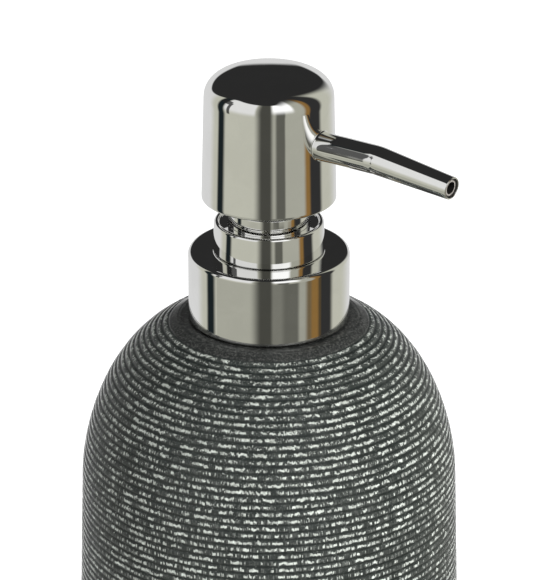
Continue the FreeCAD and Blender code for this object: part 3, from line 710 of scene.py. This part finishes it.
def build_head():
    around = 288
    line = head_outline()
    angles = np.arange(around) * 2 * math.pi / around
    verts, rows = [], []

    def put(v):
        verts.append(np.asarray(v, float))
        return len(verts) - 1

    for r, z in line:
        if r < 1e-6:
            rows.append([put((0, 0, z))])
        else:
            rows.append([put((r * math.cos(a), r * math.sin(a), z)) for a in angles])
    # the window in the wall that the spout grows from
    wide = 26
    bottom = int(np.argmax(line[:, 1] > SPOUT - 5.2))
    top = int(np.argmax(line[:, 1] > SPOUT + 5.6))
    faces = []
    for i in range(len(rows) - 1):
        a, b = rows[i], rows[i + 1]
        for k in range(around):
            n = (k + 1) % around
            column = k if k < around / 2 else k - around
            if bottom <= i < top and -wide <= column < wide:
                continue
            if len(b) == 1:
                faces.append((a[k], a[n], b[0]))
            else:
                faces.append((a[k], a[n], b[n], b[k]))
    loop = [rows[bottom][c % around] for c in range(-wide, wide)]
    loop += [rows[i][wide] for i in range(bottom, top)]
    loop += [rows[top][c % around] for c in range(wide, -wide, -1)]
    loop += [rows[i][(-wide) % around] for i in range(top, bottom, -1)]

    def wall(y, z):
        r = np.interp(z, line[:, 1], line[:, 0])
        return math.sqrt(max(r * r - y * y, 0.0))

    centre, root = spout_section(13.0)
    bearing = []
    for index in loop:
        v = verts[index]
        bearing.append(math.atan2(v[2] - centre, v[1]))

    def flare(b):
        """How far the root spreads over the wall and along the spout: widest above."""
        up = max(0.0, math.sin(b))
        return 0.22 + 0.13 * up**2, 0.3 + 0.35 * up**2

    previous = loop
    count = len(loop)

    def bridge(a, b):
        for k in range(count):
            n = (k + 1) % count
            faces.append((a[k], a[n], b[n], b[k]))

    blend_rows = 14
    for step in range(1, blend_rows + 1):
        t = step / blend_rows
        new = []
        for k, index in enumerate(loop):
            b = bearing[k]
            spread_out, _ = flare(b)
            edge = np.array([math.cos(b), math.sin(b)]) * (root + spread_out) + np.array([0, centre])
            start = verts[index][1:3]
            y, z = start + (edge - start) * t
            new.append(put((wall(y, z), y, z)))
        bridge(previous, new)
        previous = new
    flare_rows = 22
    ends = []
    for step in range(1, flare_rows + 1):
        s = step / flare_rows
        new = []
        for k in range(count):
            b = bearing[k]
            spread_out, reach = flare(b)
            rho = root + spread_out * (1 - math.sin(0.5 * math.pi * s))
            y, z = rho * math.cos(b), centre + rho * math.sin(b)
            x = wall(y, z) + reach * (1 - math.cos(0.5 * math.pi * s))
            new.append(put((x, y, z)))
            if step == flare_rows:
                ends.append(x)
        bridge(previous, new)
        previous = new
    ends = np.array(ends)
    far = 17.6
    steady = 16
    for step in range(1, steady + 1):
        t = step / steady
        new = []
        for k in range(count):
            x = ends[k] + (far - ends[k]) * t
            zc, radius = spout_section(x)
            mixed = root + (radius - root) * t
            zc = centre + (zc - centre) * t
            new.append(put((x, mixed * math.cos(bearing[k]), zc + mixed * math.sin(bearing[k]))))
        bridge(previous, new)
        previous = new
    slope_near = math.atan2(-RISE, BEND - 9.5)
    slope_far = math.atan2(DROP + RISE, TIP - BEND)
    stations = list(np.linspace(far, BEND - 0.6, 9)[1:]) + [BEND - 0.3, BEND, BEND + 0.3, BEND + 0.6]
    stations += list(np.linspace(BEND + 0.6, TIP - 0.3, 18)[1:])

    def ring_at(x, zc, radius, slope):
        new = []
        for k in range(count):
            c, s = math.cos(bearing[k]) * radius, math.sin(bearing[k]) * radius
            new.append(put((x + s * math.sin(slope), c, zc + s * math.cos(slope))))
        return new

    for x in stations:
        zc, radius = spout_section(x)
        t = min(1.0, max(0.0, (x - far) / (BEND - far)))
        soft = min(1.0, max(0.0, (x - BEND + 0.6) / 1.2))
        radius -= 0.035 * (1 - min(1.0, abs(x - BEND) / 0.6))
        slope = slope_near * t * (1 - soft) + slope_far * soft
        new = ring_at(x, zc, radius, slope)
        bridge(previous, new)
        previous = new
    zc_tip, r_tip = spout_section(TIP)
    along = np.array([math.cos(slope_far), 0, -math.sin(slope_far)])

    def tip_ring(back, radius):
        spot = np.array([TIP, 0, zc_tip]) - along * back
        return ring_at(spot[0], spot[2], radius, slope_far)

    lip = 0.2
    for q in range(9):
        a = 0.5 * math.pi * q / 8
        new = tip_ring(lip * (1 - math.sin(a)), r_tip - lip + lip * math.cos(a))
        bridge(previous, new)
        previous = new
    for back, radius in ((0.0, 2.04), (0.03, 1.99), (0.1, 1.95)):
        new = tip_ring(back, radius)
        bridge(previous, new)
        previous = new
    # from here on the tip's inner lip and the bore are painted near black as shade
    shade_from = len(faces)
    for back, radius in ((0.3, 1.9), (0.36, 1.86), (0.38, 1.7), (0.4, 1.64), (0.5, 1.6)):
        new = tip_ring(back, radius)
        bridge(previous, new)
        previous = new
    for x in (42.0, 38.0, 34.0, 30.0, 27.4, 26.0, 24.0, 20.0, 16.0, 13.0, 12.1):
        slope = slope_far if x > BEND else 0.0
        new = ring_at(x, liner_level(x) - HEAD_LOW, 1.6, slope)
        bridge(previous, new)
        previous = new
    end = put((12.1, 0, liner_level(12.1) - HEAD_LOW))
    for k in range(count):
        faces.append((previous[k], previous[(k + 1) % count], end))
    bored = len(faces)
    # inner cavity, joined to the outer wall round the foot
    inner = [(12.5, 0.0), (12.0, 0.02), (11.75, 0.1), (11.65, 0.3)]
    inner += [(11.65, 0.6), (11.65, 8.0), (11.65, HEAD_TOP - 5.6)]
    for k in range(1, 9):
        a = 0.5 * math.pi * k / 8
        inner.append((11.65 - 3.6 * (1 - math.cos(a)), HEAD_TOP - 5.6 + 4.0 * math.sin(a)))
    inner += [(4.0, HEAD_TOP - 1.6), (0.0, HEAD_TOP - 1.6)]
    last = rows[0]
    for r, z in inner:
        if r == 0.0:
            tipv = put((0, 0, z))
            for k in range(around):
                faces.append((last[(k + 1) % around], last[k], tipv))
            continue
        new = [put((r * math.cos(a), r * math.sin(a), z)) for a in angles]
        for k in range(around):
            n = (k + 1) % around
            faces.append((last[n], last[k], new[k], new[n]))
        last = new
    shifted = [v + np.array([0, 0, HEAD_LOW]) for v in verts]
    piece = finish_piece("head_chrome", shifted, faces, "head", ["head_shell"], chrome)
    piece.data.materials.append(bore_shade_paint)
    for k in range(shade_from, bored):
        piece.data.polygons[k].material_index = 1
    return piece


build_head()


def build_liner():
    """The thin tube inside the spout, seen as a ring inside its tip. Its plastic is painted dark as the shade
    inside the spout, and its inner wall near black as the shade of the bore.
    """
    sides = 48
    path = [3.1, 10.0, 20.0, 25.6, BEND, 27.4, 32.0, 38.0, TIP - 0.6, TIP - 0.37]
    slope = math.atan2(LINER - 167.8 + DROP, TIP - BEND)
    verts, faces, dark = [], [], []
    rings = []
    for x in path:
        tilt = 0.0 if x < BEND - 0.5 else slope
        pair = []
        for radius in (1.55, 1.25):
            ring = []
            for k in range(sides):
                a = 2 * math.pi * k / sides
                s = radius * math.sin(a)
                ring.append(len(verts))
                across, up = s * math.sin(tilt), s * math.cos(tilt)
                verts.append((x + across, radius * math.cos(a), liner_level(x) + up))
            pair.append(ring)
        rings.append(pair)
    for (a, a_in), (b, b_in) in zip(rings, rings[1:]):
        for k in range(sides):
            n = (k + 1) % sides
            faces.append((a[k], a[n], b[n], b[k]))
            dark.append(len(faces))
            faces.append((a_in[n], a_in[k], b_in[k], b_in[n]))
    for (outer, inner), flip in ((rings[0], True), (rings[-1], False)):
        for k in range(sides):
            n = (k + 1) % sides
            quad = (outer[k], outer[n], inner[n], inner[k])
            faces.append(quad[::-1] if flip else quad)
    piece = finish_piece("liner_tube", verts, faces, "head", ["spout_liner"], liner_shade_paint)
    piece.data.set_sharp_from_angle(angle=math.radians(40))
    # painted shade: the tube's inner wall takes the near-black bore finish
    piece.data.materials.append(bore_shade_paint)
    for k in dark:
        piece.data.polygons[k].material_index = 1


build_liner()

# ---- floor, camera and light ------------------------------------------------------------------

floor_mesh = bpy.data.meshes.new("floor")
steps, floor_radius = 96, 6.0
turns = [2 * math.pi * k / steps for k in range(steps)]
ring = [(floor_radius * math.cos(turn), floor_radius * math.sin(turn), 0.0) for turn in turns]
floor_mesh.from_pydata(ring, [], [tuple(range(steps))])
floor = bpy.data.objects.new("floor", floor_mesh)
bpy.context.scene.collection.objects.link(floor)
floor_look, n, shader, mm = material("pale_floor")
n.put(shader.inputs["Base Color"], n.mix(n.noise(mm, 0.02, 3.0), rgb(0.86), rgb(0.9)))
shader.inputs["Roughness"].default_value = 0.7
shader.inputs["Emission Color"].default_value = (1.0, 1.0, 1.0, 1.0)
shader.inputs["Emission Strength"].default_value = 0.75
floor_mesh.materials.append(floor_look)
floor.visible_glossy = False

azimuth, elevation = math.radians(VIEW_AZIMUTH), math.radians(VIEW_ELEVATION)
back = Vector(
    (
        math.sin(azimuth) * math.cos(elevation),
        -math.cos(azimuth) * math.cos(elevation),
        math.sin(elevation),
    )
)
right = Vector((math.cos(azimuth), math.sin(azimuth), 0))
camera_data = bpy.data.cameras.new("camera")
camera_data.lens = 249.8
camera_data.sensor_width = 36.0
camera_data.clip_start, camera_data.clip_end = 0.05, 50.0
camera = bpy.data.objects.new("camera", camera_data)
bpy.context.scene.collection.objects.link(camera)
target = Vector((0, 0, 0.134)) + right * 0.0005
camera.location = target + back * 0.8
camera.rotation_mode = "QUATERNION"
camera.rotation_quaternion = (-back).to_track_quat("-Z", "Y")
bpy.context.scene.camera = camera


def area_light(name, bearing, rise, distance, size, power):
    """A soft box at a bearing from the camera's side and a rise above the horizon."""
    data = bpy.data.lights.new(name, "AREA")
    data.shape = "RECTANGLE"
    data.size, data.size_y = size
    data.energy = power
    light = bpy.data.objects.new(name, data)
    bpy.context.scene.collection.objects.link(light)
    turn = azimuth + math.radians(bearing)
    up = math.radians(rise)
    away = Vector((math.sin(turn) * math.cos(up), -math.cos(turn) * math.cos(up), math.sin(up)))
    light.location = Vector((0, 0, 0.1)) + away * distance
    light.rotation_mode = "QUATERNION"
    light.rotation_quaternion = away.to_track_quat("Z", "Y")
    light.visible_glossy = False


area_light("key", 44, 34, 1.2, (0.6, 0.6), 18.0)
area_light("fill", -10, 45, 1.3, (0.8, 0.6), 2.0)

world = bpy.data.worlds.new("studio")
bpy.context.scene.world = world
world.use_nodes = True
w = Nodes(world.node_tree)
for node in list(world.node_tree.nodes):
    world.node_tree.nodes.remove(node)
ray = w.add("ShaderNodeTexCoord").outputs["Generated"]
toward = (math.sin(azimuth), -math.cos(azimuth), 0.0)
rightward = (math.cos(azimuth), math.sin(azimuth), 0.0)
bearing = w.math("ARCTAN2", w.dot(ray, rightward), w.dot(ray, toward))
bearing = w.math("MULTIPLY", bearing, 180 / math.pi)
rise = w.math("MULTIPLY", w.math("ARCSINE", w.dot(ray, (0.0, 0.0, 1.0))), 180 / math.pi)


TINTS = {
    "plain": (1.0, 1.0, 1.0),
    "paper": (1.0, 1.0, 0.93),
    "brown": (1.0, 0.87, 0.66),
    "wood": (1.0, 0.77, 0.45),
    "slate": (0.8, 0.95, 1.0),
}
PLATE_SHARE = 0.88


def tone(grey, tint="plain"):
    """Linear light that shows as a grey of 0 to 255, with a tint, once the plate has given it back."""
    return rgb(tuple((grey * part / 255) ** 2.2 / PLATE_SHARE for part in TINTS[tint]))


def panels(first, following):
    """Panels side by side round the pump, each from its own bearing to where the next one starts."""
    colour = tone(*first)
    for start, soft, grey, tint in following:
        colour = w.mix(w.step(bearing, start - soft, start + soft), colour, tone(grey, tint))
    return colour


# bearing where it starts, softness of that edge, grey, tint
tall = panels(
    (205, "plain"),
    [
        (-115, 10, 180, "paper"),  # left wall
        (-99, 3, 40, "slate"),  # left black flag
        (-84, 4, 180, "paper"),  # left soft panel
        (-20, 8, 70, "paper"),  # gap with the camera
        (5, 4, 155, "paper"),  # slim reflector
        (12, 3, 90, "paper"),  # grey stand
        (28, 2, 160, "paper"),  # right soft panel
        (65, 4, 130, "wood"),  # wooden board
        (75, 3, 50, "plain"),  # right black flag
        (101, 5, 180, "paper"),  # right wall
        (140, 20, 205, "plain"),  # back sweep
    ],
)
near_floor = panels(
    (160, "paper"),
    [
        (-20, 9, 70, "paper"),  # gap with the camera
        (4, 3, 115, "paper"),  # reflector's foot
        (20, 5, 95, "paper"),  # table edge
        (43, 3, 150, "paper"),  # foot of the right soft panel
        (55, 4, 105, "brown"),  # shade beside the board
        (63, 3, 130, "wood"),  # wooden board
        (75, 3, 75, "brown"),  # foot of the right black flag
    ],
)
in_front = w.span(bearing, -80.0, 80.0, 1.0)
below = w.math("SUBTRACT", 1.0, w.step(rise, -22.9, -22.2))
room = w.mix(w.math("MULTIPLY", in_front, below), tall, near_floor)
# the two soft panels in front grow brighter with height
left_glow = w.math("MULTIPLY", w.span(bearing, -84.0, -24.0, 3.0), w.step(rise, -16.0, 8.0))
right_glow = w.math("MULTIPLY", w.span(bearing, 6.0, 44.0, 4.0), w.step(rise, -6.0, 26.0))
room = w.mix(w.math("MULTIPLY", left_glow, 0.9), room, tone(220))
room = w.mix(right_glow, room, tone(260))
# a narrow black cloth hangs on the left, wider towards its top
slanted = w.math("MULTIPLY_ADD", rise, -0.035, bearing)
cloth = w.math("MULTIPLY", w.span(slanted, -78.0, -72.0, 0.8), w.span(rise, -16.0, 31.0, 1.5))
cloth_top = w.math("MULTIPLY", w.span(bearing, -98.0, -75.0, 1.0), w.span(rise, 20.0, 36.0, 1.5))
cloth = w.math("MAXIMUM", cloth, cloth_top)
room = w.mix(w.math("MULTIPLY", cloth, 0.9), room, tone(40))
# the dark ceiling starts low behind the pump and high in front, higher still on the right
open_front = w.math(
    "SUBTRACT", w.step(bearing, -140.0, -70.0), w.step(bearing, 100.0, 155.0), clamp=True
)
front_height = w.math("MULTIPLY_ADD", w.step(bearing, 5.0, 45.0), 12.0, 36.0)
edge = w.math("MULTIPLY_ADD", open_front, front_height, 14.0)
blur = w.span(bearing, 20.0, 152.0, 10.0)
above = w.math("SUBTRACT", rise, edge)
ceiling = w.step(above, w.math("MULTIPLY_ADD", blur, -20.0, -2.0), w.math("MULTIPLY_ADD", blur, 8.0, 1.5))
room = w.mix(ceiling, room, tone(45))
path = w.add("ShaderNodeLightPath")
plain = w.mix(path.outputs["Is Diffuse Ray"], room, rgb(0.16))
seen = w.mix(path.outputs["Is Camera Ray"], plain, rgb(1.05))
background = w.add("ShaderNodeBackground")
w.put(background.inputs["Color"], seen)
background.inputs["Strength"].default_value = 1.0
output = w.add("ShaderNodeOutputWorld")
w.put(output.inputs["Surface"], background.outputs[0])

bpy.context.scene.view_settings.view_transform = "Standard"
bpy.context.scene.view_settings.look = "None"
